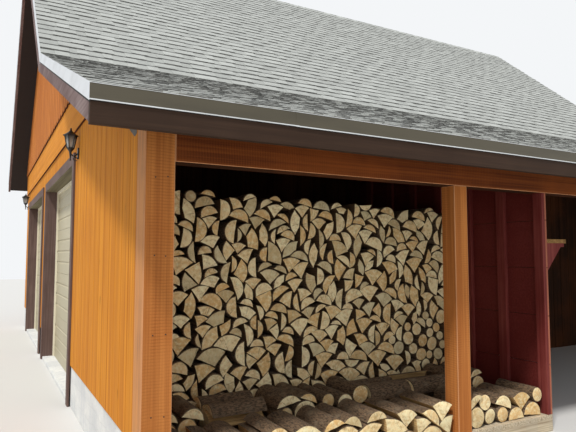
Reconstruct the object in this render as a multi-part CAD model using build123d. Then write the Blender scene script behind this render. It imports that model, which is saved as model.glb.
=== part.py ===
from build123d import *
import math
import os
import random

import numpy

os.makedirs("parts", exist_ok=True)

# Timber garage whose side aisle, under one broken-pitch roof, is an open log store.
# Built with X along the eave from the left gable, Y from the store's front posts
# to the back wall, and Z up from the lowest ground. Millimetres.

# Plan, to the outer faces of the walls
building_length = 10210.0
aisle_depth = 2710.0
wall_thickness = 150.0

# Roof, heights of its top surface
eave_height = 2341.0
break_height = 3508.0
ridge_height = 6587.0
eave_overhang = 398.0
rake_overhang = 374.0
deck_thickness = 30.0
upper_roof_depth = 216.0
trim_board = 38.0
fascia_bottom = 2140.0
drip_height = 87.0
drip_thickness = 3.0
drip_lip_height = 10.0
drip_lip_reach = 6.0
cap_width = 150.0
cap_thickness = 9.0

# Foundation and floors
foundation_height = 405.0
foundation_thickness = 140.0
siding_overhang = 12.0
slab_rise = 40.0
store_floor_height = 140.0
plank_width = 140.0
plank_thickness = 38.0
plank_gap = 6.0
bearer_width = 89.0
bearer_count = 4

# Front posts, beam and rafters
corner_post_width = 180.0
corner_post_depth = 190.0
front_post = 140.0
first_post_x = 2438.0
front_post_count = 3
beam_underside = 2059.0
beam_height = 286.0
beam_thickness = 140.0
rafter_width = 38.0
rafter_depth = 140.0
rafter_spacing = 610.0

# Garage doors in the left gable wall, and the wall left standing beside and over them
door_width = 2743.0
door_height = 2438.0
near_pier = 210.0
middle_pier = 597.0
far_pier = 857.0
header_depth = 333.0
door_leaf = 40.0
door_sections = 4
door_section_gap = 3.0
door_overlap = 25.0
rib_depth = 7.0
ribs_per_section = 4
rib_bevel = 9.0
rib_groove = 14.0
door_reveal = 157.0
liner_thickness = 19.0
trim_width = 120.0
trim_thickness = 20.0

# Gable band and its overlapping boards
band_soffit_gap = 23.0
band_thickness = 22.0
gable_board_pitch = 200.0
gable_board_gap = 6.0
gable_board_thickness = 19.0
gable_board_drop = 40.0
gable_board_ear = 45.0
gable_board_shortest = 90.0

# Partition at the right end of the log stack
partition_x = 3552.0
partition_board_height = 420.0
partition_board_thickness = 22.0
partition_board_gap = 4.0
stud_width = 89.0
stud_depth = 38.0
stud_spacing = 406.0
shelf_height = 1650.0
shelf_depth = 265.0
shelf_length = 330.0
shelf_thickness = 36.0
bracket_thickness = 30.0
bracket_arm = 32.0
bracket_nose = 45.0
bracket_drop = 210.0

# Carriage lamps beside the doors
near_lamp_gap = 200.0
far_lamp_gap = 137.0
lamp_height = 2620.0
lamp_reach = 80.0
lamp_body_height = 130.0
lamp_top_radius = 60.0
lamp_foot_radius = 34.0
lamp_roof_height = 52.0
lamp_roof_radius = 74.0
lamp_sides = 6
lamp_tail = 120.0
lamp_arm_drop = 42.0
lamp_finial = 28.0
lamp_rod = 9.0
lamp_plate_radius = 55.0
lamp_plate_thickness = 16.0

# Firewood in the stack
log_length = 425.0
log_row_gap = 12.0
free_floor = 900.0
log_smallest = 105.0
log_largest = 178.0
log_clearance = 0.5
log_facet_angle = math.radians(36)
log_unevenness = 30.0
stack_left_height = 1890.0
stack_right_height = 1810.0
stack_wave = 28.0
stack_end_gap = 8.0
rounds_from_right = 400.0
rounds_height = 560.0

# Loose logs in front of it
loose_smallest = 150.0
loose_largest = 225.0
loose_top = 270.0
loose_rear_top = 330.0
loose_across_share = 0.35
loose_front = 25.0
loose_row_gap = 30.0

# Values that follow from the sizes above
near_door_start = aisle_depth + near_pier
far_door_start = near_door_start + door_width + middle_pier
depth = far_door_start + door_width + far_pier
garage_width = depth - aisle_depth
ridge_y = aisle_depth + garage_width / 2
low_pitch = (break_height - eave_height) / (aisle_depth + eave_overhang)
steep_pitch = (ridge_height - break_height) / (garage_width / 2)
low_secant = math.sqrt(1 + low_pitch ** 2)
steep_secant = math.sqrt(1 + steep_pitch ** 2)
deck_drop = deck_thickness * low_secant
upper_drop = upper_roof_depth * steep_secant
board_face = eave_overhang - drip_thickness
rake_face = rake_overhang - drip_thickness
beam_top = beam_underside + beam_height
near_door = (near_door_start, near_door_start + door_width)
far_door = (far_door_start, far_door_start + door_width)
band_bottom = door_height + header_depth
near_lamp_y = near_door[0] - trim_width - near_lamp_gap
far_lamp_y = far_door[1] + trim_width + far_lamp_gap


def low_top(y):
    """Top of the lower roof at y."""
    return eave_height + (y + eave_overhang) * low_pitch


def high_top(y):
    """Top of the upper roof at y."""
    return ridge_height - abs(y - ridge_y) * steep_pitch


def low_under(y):
    return low_top(y) - deck_drop


def high_under(y):
    return high_top(y) - upper_drop


band_top = high_under(depth) - band_soffit_gap


def block(x0, x1, y0, y1, z0, z1):
    """Box between two corners."""
    middle = Pos((x0 + x1) / 2, (y0 + y1) / 2, (z0 + z1) / 2)
    return middle * Box(x1 - x0, y1 - y0, z1 - z0)


def slab(outline, x0, x1):
    """Outline of (y, z) points, extruded along X from x0 to x1."""
    face = make_face(Polyline(*outline, close=True))
    return extrude(Plane.YZ.offset(x0) * face, x1 - x0)


def bar(outline, y0, y1):
    """Outline of (x, z) points, extruded along Y from y0 to y1."""
    face = make_face(Polyline(*outline, close=True))
    return extrude(Plane.XZ.offset(-y0) * face, y0 - y1)


def side_span(side, x0, x1):
    """Span measured inwards from the outer face of the left or right gable wall."""
    if side == "left":
        return x0, x1
    return building_length - x1, building_length - x0


def to_origin(solid):
    """The origin is under the middle of the roof, on the ground."""
    return Pos(-building_length / 2, -depth / 2, 0) * solid


nodes = {}


def add(name, *solids):
    placed = [to_origin(solid) for solid in solids]
    nodes[name] = placed[0] if len(placed) == 1 else Compound(children=placed)


# Foundation and floors
def foundation_strip(side, y0, y1):
    inner = siding_overhang + foundation_thickness
    x0, x1 = side_span(side, siding_overhang, inner)
    return block(x0, x1, y0, y1, 0, foundation_height)


back_inner = depth - siding_overhang - foundation_thickness
add(
    "foundation_left",
    foundation_strip("left", corner_post_depth, near_door[0] - liner_thickness),
    foundation_strip("left", near_door[1] + liner_thickness, far_door[0] - liner_thickness),
    foundation_strip("left", far_door[1] + liner_thickness, back_inner),
)
add("foundation_right", foundation_strip("right", corner_post_depth, back_inner))
add(
    "foundation_back",
    block(
        siding_overhang,
        building_length - siding_overhang,
        back_inner,
        depth - siding_overhang,
        0,
        foundation_height,
    ),
)

store_start = siding_overhang + foundation_thickness
slab_start = max(store_start, door_reveal)
garage_floor = block(
    slab_start,
    building_length - slab_start,
    aisle_depth + wall_thickness,
    back_inner,
    0,
    slab_rise,
)
for door in (near_door, far_door):
    garage_floor += block(0, slab_start, door[0], door[1], 0, slab_rise)
add("garage_floor", garage_floor)

store_post = block(first_post_x, first_post_x + front_post, 0, front_post, 0, beam_underside)
corner_post = block(0, corner_post_width, 0, corner_post_depth, 0, beam_underside)
plank_count = round((partition_x - store_start + plank_gap) / (plank_width + plank_gap))
plank_pitch = (partition_x - store_start + plank_gap) / plank_count
plank_foot = store_floor_height - plank_thickness
planks = []
for index in range(plank_count):
    plank_x = store_start + index * plank_pitch
    plank_end = plank_x + plank_pitch - plank_gap
    plank = block(plank_x, plank_end, 0, aisle_depth, plank_foot, store_floor_height)
    planks.append(plank - store_post - corner_post)
add("store_floor", *planks)

bearer_step = (aisle_depth - bearer_width) / (bearer_count - 1)
bearers = []
for index in range(bearer_count):
    bearer_y = index * bearer_step
    bearer = block(store_start, partition_x, bearer_y, bearer_y + bearer_width, 0, plank_foot)
    bearers.append(bearer - store_post - corner_post)
add("floor_bearers", *bearers)

# Posts, beam and rafters
corner_outline = [
    (0, 0),
    (corner_post_depth, 0),
    (corner_post_depth, low_under(corner_post_depth)),
    (0, low_under(0)),
]
for side in ("left", "right"):
    add(side + "_corner_post", slab(corner_outline, *side_span(side, 0, corner_post_width)))

post_step = (building_length - (corner_post_width + front_post) / 2 - first_post_x) / front_post_count
for index in range(front_post_count):
    post_x = first_post_x + index * post_step
    add(
        "front_post_" + str(index + 1),
        block(post_x, post_x + front_post, 0, front_post, 0, beam_underside),
    )

beam_ends = (corner_post_width, building_length - corner_post_width)
front_beam = block(*beam_ends, 0, beam_thickness, beam_underside, beam_top)
add("front_beam", front_beam)

rafter_drop = rafter_depth * low_secant
rafter_front = trim_board - board_face
rafter_outline = [
    (rafter_front, low_under(rafter_front) - rafter_drop),
    (aisle_depth, low_under(aisle_depth) - rafter_drop),
    (aisle_depth, low_under(aisle_depth)),
    (rafter_front, low_under(rafter_front)),
]
rafter_run = beam_ends[1] - beam_ends[0] - rafter_width
rafter_count = math.floor(rafter_run / rafter_spacing) + 1
rafters = []
for index in range(rafter_count):
    rafter_x = beam_ends[0] + index * rafter_spacing
    rafters.append(slab(rafter_outline, rafter_x, rafter_x + rafter_width) - front_beam)
rafters.append(slab(rafter_outline, beam_ends[1] - rafter_width, beam_ends[1]) - front_beam)
add("aisle_rafters", *rafters)

# Walls
end_wall_outline = [
    (corner_post_depth, foundation_height),
    (aisle_depth, foundation_height),
    (aisle_depth, low_under(aisle_depth)),
    (corner_post_depth, low_under(corner_post_depth)),
]
gable_outline = [
    (aisle_depth, band_bottom),
    (depth, band_bottom),
    (depth, high_under(depth)),
    (ridge_y, high_under(ridge_y)),
    (aisle_depth, high_under(aisle_depth)),
]
furring_outline = [(y, max(z, band_top)) for y, z in gable_outline]
right_wall_outline = [(y, z if z > band_bottom else foundation_height) for y, z in gable_outline]
for side in ("left", "right"):
    wall_span = side_span(side, 0, wall_thickness)
    add(side + "_end_wall", slab(end_wall_outline, *wall_span))
    outline = gable_outline if side == "left" else right_wall_outline
    gable = slab(outline, *wall_span)
    gable += slab(furring_outline, *side_span(side, -band_thickness, 0))
    add(side + "_gable", gable)

piers = (
    (aisle_depth, near_door[0] - liner_thickness, band_bottom),
    (near_door[1] + liner_thickness, far_door[0] - liner_thickness, door_height + liner_thickness),
    (far_door[1] + liner_thickness, depth, band_bottom),
)
for index, (y0, y1, top) in enumerate(piers):
    add("garage_pier_" + str(index + 1), block(0, wall_thickness, y0, y1, foundation_height, top))
add(
    "door_header",
    block(0, wall_thickness, piers[0][1], piers[2][0], door_height + liner_thickness, band_bottom),
)

side_wall_back = aisle_depth + wall_thickness
side_wall_outline = [
    (aisle_depth, 0),
    (side_wall_back, 0),
    (side_wall_back, high_under(side_wall_back)),
    (aisle_depth, high_under(aisle_depth)),
]
inside_walls = (wall_thickness, building_length - wall_thickness)
side_wall = slab(side_wall_outline, *inside_walls)
for side in ("left", "right"):
    side_wall -= foundation_strip(side, aisle_depth, side_wall_back)
add("garage_side_wall", side_wall)
back_wall_front = depth - wall_thickness
back_wall_outline = [
    (back_wall_front, foundation_height),
    (depth, foundation_height),
    (depth, high_under(depth)),
    (back_wall_front, high_under(back_wall_front)),
]
add("back_wall", slab(back_wall_outline, *inside_walls))

# Gable band and boards
band_start = (band_bottom - low_under(0)) / low_pitch
band_outline = [
    (band_start, band_bottom),
    (depth, band_bottom),
    (depth, band_top),
    (aisle_depth, band_top),
    (aisle_depth, low_under(aisle_depth)),
]


def gable_board(y0, y1, under):
    """Outline of one vertical board with clipped lower corners."""
    foot = band_top - gable_board_drop
    outline = [
        (y0, foot + gable_board_ear),
        (y0 + gable_board_ear, foot),
        (y1 - gable_board_ear, foot),
        (y1, foot + gable_board_ear),
        (y1, under(y1)),
    ]
    if y0 < ridge_y < y1:
        outline.append((ridge_y, under(ridge_y)))
    outline.append((y0, under(y0)))
    return outline


board_count = round(garage_width / gable_board_pitch)
board_pitch = garage_width / board_count
board_outlines = []
for index in range(board_count):
    board_y = aisle_depth + index * board_pitch
    board_outlines.append(gable_board(board_y, board_y + board_pitch - gable_board_gap, high_under))
board_y = aisle_depth - board_pitch
while low_under(board_y) > band_top - gable_board_drop + gable_board_ear + gable_board_shortest:
    board_outlines.append(gable_board(board_y, board_y + board_pitch - gable_board_gap, low_under))
    board_y -= board_pitch
for side in ("left", "right"):
    add(side + "_band", slab(band_outline, *side_span(side, -band_thickness, 0)))
    board_span = side_span(side, -band_thickness - gable_board_thickness, -band_thickness)
    add(side + "_gable_boards", *[slab(outline, *board_span) for outline in board_outlines])


# Garage doors and their casings
def door_outline(z0, z1):
    """Section of one door leaf section, (x, z), with its horizontal grooves."""
    front = door_reveal
    back = front + door_leaf
    step = (z1 - z0) / ribs_per_section
    outline = [(back, z0), (front, z0)]
    for rib in range(1, ribs_per_section):
        groove = z0 + rib * step
        outline.append((front, groove - rib_groove / 2 - rib_bevel))
        outline.append((front + rib_depth, groove - rib_groove / 2))
        outline.append((front + rib_depth, groove + rib_groove / 2))
        outline.append((front, groove + rib_groove / 2 + rib_bevel))
    outline.append((front, z1))
    outline.append((back, z1))
    return outline


def garage_door(door):
    top = door_height + door_overlap
    step = (top - slab_rise + door_section_gap) / door_sections
    sections = []
    for index in range(door_sections):
        z0 = slab_rise + index * step
        outline = door_outline(z0, z0 + step - door_section_gap)
        sections.append(bar(outline, door[0] - door_overlap, door[1] + door_overlap))
    return sections


add("near_garage_door", *garage_door(near_door))
add("far_garage_door", *garage_door(far_door))


def casing(door):
    """Liner through the wall with a flat trim round its outer face."""
    liner = block(
        -trim_thickness,
        door_reveal,
        door[0] - liner_thickness,
        door[1] + liner_thickness,
        0,
        door_height + liner_thickness,
    )
    trim = block(
        -trim_thickness,
        0,
        door[0] - trim_width,
        door[1] + trim_width,
        0,
        door_height + trim_width,
    )
    opening = block(-trim_thickness, door_reveal, door[0], door[1], 0, door_height)
    return liner + trim - opening


add("door_casings", casing(near_door), casing(far_door))

# Roof
deck_ends = (trim_board - rake_face, building_length + rake_face - trim_board)
deck_front = -board_face
deck_outline = [
    (deck_front, low_under(deck_front)),
    (aisle_depth, low_under(aisle_depth)),
    (aisle_depth, low_top(aisle_depth)),
    (deck_front, low_top(deck_front)),
]
add("lower_roof", slab(deck_outline, *deck_ends))

far_edge = depth + board_face
upper_back = far_edge - trim_board
near_outline = [
    (aisle_depth, high_under(aisle_depth)),
    (ridge_y, high_under(ridge_y)),
    (ridge_y, high_top(ridge_y)),
    (aisle_depth, high_top(aisle_depth)),
]
far_outline = [
    (ridge_y, high_under(ridge_y)),
    (upper_back, high_under(upper_back)),
    (upper_back, high_top(upper_back)),
    (ridge_y, high_top(ridge_y)),
]
add("upper_roof_near", slab(near_outline, *deck_ends))
add("upper_roof_far", slab(far_outline, *deck_ends))

cap_reach = cap_width / steep_secant
cap_rise = cap_thickness * steep_secant
cap_outline = [
    (ridge_y - cap_reach, high_top(ridge_y - cap_reach)),
    (ridge_y, high_top(ridge_y)),
    (ridge_y + cap_reach, high_top(ridge_y + cap_reach)),
    (ridge_y + cap_reach, high_top(ridge_y + cap_reach) + cap_rise),
    (ridge_y, high_top(ridge_y) + cap_rise),
    (ridge_y - cap_reach, high_top(ridge_y - cap_reach) + cap_rise),
]
add("ridge_cap", slab(cap_outline, *deck_ends))

fascia_back = deck_front + trim_board
fascia_outline = [
    (deck_front, fascia_bottom),
    (fascia_back, fascia_bottom),
    (fascia_back, low_under(fascia_back)),
    (deck_front, low_under(deck_front)),
]
rake_ends = (-rake_face, building_length + rake_face)
add("eave_fascia", slab(fascia_outline, *rake_ends))
back_fascia_outline = [
    (upper_back, high_under(upper_back)),
    (far_edge, high_under(upper_back)),
    (far_edge, high_top(far_edge)),
    (upper_back, high_top(upper_back)),
]
add("back_fascia", slab(back_fascia_outline, *deck_ends))

rake_drop = eave_height - fascia_bottom
rake_low_outline = [
    (fascia_back, low_top(fascia_back) - rake_drop),
    (aisle_depth, low_top(aisle_depth) - rake_drop),
    (aisle_depth, low_top(aisle_depth)),
    (deck_front, low_top(deck_front)),
    (deck_front, low_under(deck_front)),
    (fascia_back, low_under(fascia_back)),
]
rake_far_outline = [
    (ridge_y, high_under(ridge_y)),
    (far_edge, high_under(far_edge)),
    (far_edge, high_top(far_edge)),
    (ridge_y, high_top(ridge_y)),
]
for side in ("left", "right"):
    rake_span = side_span(side, -rake_face, trim_board - rake_face)
    boards = [slab(line, *rake_span) for line in (rake_low_outline, near_outline, rake_far_outline)]
    add(side + "_rake_boards", *boards)


# Metal drip edges along the eaves and rakes
def eave_metal(face, outward, top):
    """Strip with a lip along one eave, its back on the fascia at y = face."""
    strip = sorted((face, face + outward * drip_thickness))
    lip = sorted((face, face + outward * (drip_thickness + drip_lip_reach)))
    ends = (-rake_overhang, building_length + rake_overhang)
    foot = top - drip_height
    metal = block(*ends, *strip, foot, top)
    metal += block(*ends, *lip, foot, foot + drip_lip_height)
    return metal


def rake_metal(side, y0, y1, top, secant):
    drop = drip_height * secant / low_secant
    outline = [(y0, top(y0) - drop), (y1, top(y1) - drop), (y1, top(y1)), (y0, top(y0))]
    return slab(outline, *side_span(side, -rake_overhang, -rake_face))


metals = [eave_metal(deck_front, -1, eave_height), eave_metal(far_edge, 1, high_top(far_edge))]
for side in ("left", "right"):
    metals.append(rake_metal(side, deck_front, aisle_depth, low_top, low_secant))
    metals.append(rake_metal(side, aisle_depth, ridge_y, high_top, steep_secant))
    metals.append(rake_metal(side, ridge_y, far_edge, high_top, steep_secant))
add("drip_edges", *metals)


# Partition and shelf
partition_room = slab(
    [
        (0, store_floor_height),
        (aisle_depth, store_floor_height),
        (aisle_depth, low_under(aisle_depth)),
        (0, low_under(0)),
    ],
    partition_x - partition_board_thickness - stud_depth,
    partition_x,
)
partition_room -= front_beam
boards_front = partition_x - partition_board_thickness
board_z = store_floor_height
boards = []
while board_z < low_under(aisle_depth):
    board_top = board_z + partition_board_height - partition_board_gap
    board = block(boards_front, partition_x, 0, aisle_depth, board_z, board_top) & partition_room
    boards.append(board)
    board_z += partition_board_height
add("partition_boards", *boards)

studs = []
stud_count = math.floor((aisle_depth - stud_width) / stud_spacing) + 1
for index in range(stud_count):
    stud_y = index * stud_spacing
    stud = block(
        boards_front - stud_depth,
        boards_front,
        stud_y,
        stud_y + stud_width,
        store_floor_height,
        low_under(aisle_depth),
    )
    stud &= partition_room
    studs.append(stud)
add("partition_studs", *studs)

arm_top = shelf_height - shelf_thickness
arm_foot = arm_top - bracket_arm
arm_end = partition_x + shelf_depth - bracket_thickness
shelf = block(partition_x, partition_x + shelf_depth, 0, shelf_length, arm_top, shelf_height)
bracket_outline = [
    (partition_x, arm_foot - bracket_drop),
    (arm_end - bracket_nose, arm_foot),
    (arm_end, arm_foot),
    (arm_end, arm_top),
    (partition_x, arm_top),
]
shelf += bar(bracket_outline, 0, bracket_thickness)
add("shelf", shelf)


# Carriage lamps
def prism_ring(radius_low, radius_high, z0, z1):
    """Tapered many-sided solid round the Z axis."""
    foot = Pos(0, 0, z0) * RegularPolygon(radius_low, lamp_sides)
    head = Pos(0, 0, z1) * RegularPolygon(radius_high, lamp_sides)
    return loft([foot, head])


def carriage_lamp(y):
    body_top = lamp_body_height
    roof_top = body_top + lamp_roof_height
    sideways = Pos(0, 0, -lamp_arm_drop) * Rot(0, 90, 0)
    plate_back = lamp_reach - lamp_plate_thickness
    lamp = prism_ring(lamp_foot_radius, lamp_top_radius, 0, body_top)
    lamp += prism_ring(lamp_roof_radius, lamp_rod, body_top, roof_top)
    lamp += prism_ring(lamp_rod, lamp_rod / 3, roof_top, roof_top + lamp_finial)
    lamp += prism_ring(lamp_rod / 2, lamp_rod, -lamp_tail, 0)
    lamp += sideways * prism_ring(lamp_rod, lamp_rod, 0, lamp_reach)
    lamp += sideways * prism_ring(lamp_plate_radius, lamp_plate_radius, plate_back, lamp_reach)
    return Pos(-lamp_reach, y, lamp_height - lamp_body_height / 2) * lamp


add("wall_lamps", carriage_lamp(near_lamp_y), carriage_lamp(far_lamp_y))

# Firewood
log_column = 8.0
log_kinds = {"half": (12, 0.22), "wedge": (5, 0.30), "slab": (3, 0.40), "round": (6, 0.30)}


def bark_arc(radius, start, sweep):
    """Points of an arc about the origin, in flats of about one angle."""
    facets = round(sweep / log_facet_angle)
    turns = [start + sweep * step / facets for step in range(facets + 1)]
    return [(radius * math.cos(turn), radius * math.sin(turn)) for turn in turns]


def log_section(kind, size, waist):
    """End of a whole, halved or split log with its bark side up."""
    if kind == "round":
        return bark_arc(0.40 * size, 0, math.tau)[:-1]
    if kind == "half":
        lift = math.asin(0.5 * waist - 0.15)
        return bark_arc(0.58 * size, lift, math.pi - 2 * lift)
    radius = 0.92 * size
    spread = math.radians(70 + 38 * waist)
    bark = bark_arc(radius, (math.pi - spread) / 2, spread)
    if kind == "wedge":
        return bark + [(0.35 * (waist - 0.5) * radius, 0.02 * radius)]
    return bark + [(-0.30 * radius, 0.36 * radius), (0.26 * radius, 0.28 * radius)]


def turned(outline, angle):
    cosine = math.cos(angle)
    sine = math.sin(angle)
    return [(x * cosine - z * sine, x * sine + z * cosine) for x, z in outline]


def contour(outline):
    """Start of an outline, and its lowest and highest point over each column."""
    ring = numpy.array(outline + outline[:1])
    share = numpy.linspace(0, 1, 49)[:, None]
    x, z = (ring[:-1] + (ring[1:] - ring[:-1]) * share[..., None]).reshape(-1, 2).T
    start = x.min()
    places = (x - start) / log_column
    count = int(places.max() + 0.9) + 1
    low = numpy.full(count, numpy.inf)
    high = numpy.full(count, -numpy.inf)
    for shift in (0.1, 0.9):
        columns = (places + shift).astype(int)
        numpy.minimum.at(low, columns, z)
        numpy.maximum.at(high, columns, z)
    return start, low, high


def crossings(outline, places, pick):
    """Lowest or highest point of a convex outline at each place along x."""
    ring = numpy.array(outline + outline[:1])
    (x0, z0), (x1, z1) = ring[:-1].T, ring[1:].T
    run = numpy.where(x1 == x0, 1, x1 - x0)
    share = (places[:, None] - x0) / run
    missed = (share < -1e-9) | (share > 1 + 1e-9) | (x1 == x0)
    outside = numpy.inf if pick is numpy.min else -numpy.inf
    return pick(numpy.where(missed, outside, z0 + share * (z1 - z0)), axis=1)


def air_under(outline, other):
    """Least height of an outline over another that lies below it."""
    xs = numpy.array([x for x, z in outline + other])
    start = max(min(x for x, z in outline), min(x for x, z in other))
    stop = min(max(x for x, z in outline), max(x for x, z in other))
    if start >= stop:
        return math.inf
    places = xs[(xs >= start) & (xs <= stop)]
    return (crossings(outline, places, numpy.min) - crossings(other, places, numpy.max)).min()


def stacked_logs(width, top, seed, smallest, largest, rounds_at):
    """Outlines of logs dropped one after another, each where it fits best on those below.

    None rises above top(x), and whole rounds gather about the place rounds_at.
    """
    maker = random.Random(seed)
    weights = [weight for weight, lean in log_kinds.values()]
    ground = numpy.zeros(int(width / log_column))
    logs = []
    misses = 0
    while misses < 20:
        best = None
        for trial in range(12):
            size = maker.uniform(smallest, largest)
            waist = maker.random()
            kind = maker.choices(list(log_kinds), weights)[0]
            angle = maker.gauss(0, log_kinds[kind][1])
            if maker.random() < 0.09:
                angle += maker.choice((0.5, -0.5, 1)) * math.pi
            section = turned(log_section(kind, size, waist), angle)
            start, low, high = contour(section)
            if len(low) > len(ground):
                continue
            under = numpy.lib.stride_tricks.sliding_window_view(ground, len(low))
            rest = (under - low).max(axis=1)
            middle = (numpy.arange(len(rest)) + len(low) / 2) * log_column
            waste = (rest[:, None] + low - under).mean(axis=1) / (high - low).mean()
            score = waste + 0.012 * (rest + low.min() - numpy.percentile(ground, 30))
            if kind == "round":
                far = numpy.hypot(0.7 * (middle - rounds_at[0]), 2 * (rest - rounds_at[1]))
                score = score + 0.0016 * far - 0.75
            score = numpy.where(rest + high.max() > top(middle), numpy.inf, score)
            place = int(numpy.argmin(score))
            if numpy.isfinite(score[place]) and (best is None or score[place] < best[0]):
                x = place * log_column - start
                outline = [(x + px, rest[place] + pz) for px, pz in section]
                best = (score[place], place, rest[place] + high, outline)
        if best is None:
            misses += 1
            continue
        score, place, high, outline = best
        drop = min([min(z for x, z in outline)] + [air_under(outline, log) for log in logs])
        drop -= log_clearance
        span = slice(place, place + len(high))
        ground[span] = numpy.maximum(ground[span], high - drop)
        logs.append([(x, z - drop) for x, z in outline])
    return logs


def shifted(outline, start):
    """Outline moved to its start, on the store's floor."""
    return [(start + x, store_floor_height + z) for x, z in outline]


# The stack between the end wall and the partition. Its front row shows every log,
# and the rows behind it are one mass as high.
stack_left = max(wall_thickness, store_start) + stack_end_gap
stack_right = boards_front - stud_depth - stack_end_gap
stack_width = stack_right - stack_left
log_rows = math.floor((aisle_depth - free_floor) / (log_length + log_row_gap))
stack_front = aisle_depth - log_rows * (log_length + log_row_gap)
first_row_back = stack_front + log_length
maker = random.Random(2)


def stack_top(x):
    slope = (stack_right_height - stack_left_height) / stack_width
    return stack_left_height + slope * x + stack_wave * numpy.sin(x / 170) * numpy.cos(x / 61)


def rear_height(x):
    return store_floor_height + float(stack_top(x)) - 2 * log_smallest


stack_logs = stacked_logs(
    stack_width,
    stack_top,
    5,
    log_smallest,
    log_largest,
    (stack_width - rounds_from_right, rounds_height),
)
rear_outline = [
    (stack_left, store_floor_height),
    (stack_right, store_floor_height),
    (stack_right, rear_height(stack_width)),
    (stack_left, rear_height(0)),
]
firewood = [bar(rear_outline, first_row_back, aisle_depth)]
for log in stack_logs:
    log_front = stack_front - maker.uniform(0, log_unevenness)
    firewood.append(bar(shifted(log, stack_left), log_front, first_row_back))
add("log_stack", *firewood)

# Loose logs: one row from front to back on each side of the post, and behind it
# heaps that lie the same way or across.
loose = []


def front_height(x):
    return loose_top + 0 * x


def rear_heap_height(x):
    return loose_rear_top + 0 * x


def loose_stack(width, top, seed):
    return stacked_logs(width, top, seed, loose_smallest, loose_largest, (0, 0))


front_spans = (
    (max(corner_post_width, store_start) + stack_end_gap, first_post_x - stack_end_gap),
    (first_post_x + front_post + stack_end_gap, stack_right),
)
for index, (x0, x1) in enumerate(front_spans):
    for log in loose_stack(x1 - x0, front_height, 8 + index):
        log_front = loose_front + maker.uniform(0, log_unevenness)
        loose.append(bar(shifted(log, x0), log_front, log_front + log_length - log_unevenness))
heap_front = 2 * loose_front + log_length + loose_row_gap
heap_back = stack_front - log_unevenness - stack_end_gap
heap_step = log_length + loose_row_gap
heap_count = math.floor(stack_width / heap_step)
for index in range(heap_count):
    x0 = stack_left + index * heap_step
    if maker.random() < loose_across_share:
        x0 += maker.uniform(0, loose_row_gap)
        for log in loose_stack(heap_back - heap_front, rear_heap_height, 20 + index):
            loose.append(slab(shifted(log, heap_front), x0, x0 + log_length))
    else:
        for log in loose_stack(heap_step, rear_heap_height, 20 + index):
            log_front = heap_front + maker.uniform(0, log_unevenness)
            loose.append(bar(shifted(log, x0), log_front, heap_back))
add("loose_logs", *loose)

for name, solid in nodes.items():
    export_step(solid, "parts/" + name + ".step")
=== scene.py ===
import math
import random

import bmesh
import bpy
import numpy as np
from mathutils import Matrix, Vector


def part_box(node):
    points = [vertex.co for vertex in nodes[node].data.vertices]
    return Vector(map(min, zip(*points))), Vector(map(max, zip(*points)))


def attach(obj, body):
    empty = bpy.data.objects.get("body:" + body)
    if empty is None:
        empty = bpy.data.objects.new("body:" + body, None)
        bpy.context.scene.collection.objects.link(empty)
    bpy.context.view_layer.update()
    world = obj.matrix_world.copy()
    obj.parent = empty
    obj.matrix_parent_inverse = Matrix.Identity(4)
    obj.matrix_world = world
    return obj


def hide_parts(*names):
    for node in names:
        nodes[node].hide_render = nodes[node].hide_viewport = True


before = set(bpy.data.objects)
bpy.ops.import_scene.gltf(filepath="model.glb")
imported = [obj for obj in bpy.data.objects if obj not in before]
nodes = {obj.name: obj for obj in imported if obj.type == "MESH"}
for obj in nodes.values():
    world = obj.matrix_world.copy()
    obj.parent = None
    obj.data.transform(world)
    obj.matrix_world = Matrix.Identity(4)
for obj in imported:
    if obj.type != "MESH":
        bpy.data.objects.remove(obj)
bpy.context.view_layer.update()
finishes = {}  # each Finish under its own name
print("frame loaded,", len(nodes), "nodes")


# Camera and light. All colours in this file are screen colours in hex.

view = {
    "place": (-5.897, -8.058, 1.507),
    "turnRight": 28.966,
    "lookUp": 4.081,
    "roll": -0.04,
    "focalLength": 34.25,
    "sensorWidth": 36.0,
}
lighting = {
    "sunTravel": (1.0, 0.697, -2.014),
    "sunStrength": 2.8,
    "sunAngle": 6,
    "fillTravel": (0.25, 1.0, 0.06),  # a weak wide lamp from the front, into the aisle
    "fillStrength": 0.28,
    "fillAngle": 50,
    "skyStrength": 0.74,
    "skyColour": "e2e8f0",
    "backdrop": "f4f6f8",
    "floorColour": "d0cdc7",
    "floorSize": 60.0,
}


def linear(colour):
    # a screen colour as the linear one that shaders take
    shares = [value / 255 for value in bytes.fromhex(colour)]
    return (*[s / 12.92 if s < 0.04045 else ((s + 0.055) / 1.055) ** 2.4 for s in shares], 1.0)


class Wire:
    # One output socket. Sums on it add Math nodes to the same node tree.
    def __init__(self, board, socket):
        self.board = board
        self.socket = socket

    def maths(self, operation, *others):
        return self.board.sum(operation, self, *others)

    def __add__(self, other):
        return self.maths("ADD", other)

    def __sub__(self, other):
        return self.maths("SUBTRACT", other)

    def __rsub__(self, other):
        return self.board.sum("SUBTRACT", other, self)

    def __mul__(self, other):
        return self.maths("MULTIPLY", other)

    def __abs__(self):
        return self.maths("ABSOLUTE")

    __radd__ = __add__
    __rmul__ = __mul__


class Board:
    # A node tree, with one method for any node
    def __init__(self, tree):
        self.tree = tree

    def feed(self, socket, value):
        if isinstance(value, Wire):
            self.tree.links.new(value.socket, socket)
        else:
            socket.default_value = linear(value) if socket.type == "RGBA" else value

    def node(self, kind, settings=None, values=(), output=0):
        made = self.tree.nodes.new(kind)
        for key, value in (settings or {}).items():
            setattr(made, key, value)
        pairs = values.items() if isinstance(values, dict) else enumerate(values)
        for key, value in pairs:
            self.feed(made.inputs[key], value)
        return Wire(self, made.outputs[output])

    def sum(self, operation, *values):
        return self.node("ShaderNodeMath", {"operation": operation}, values)


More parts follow.
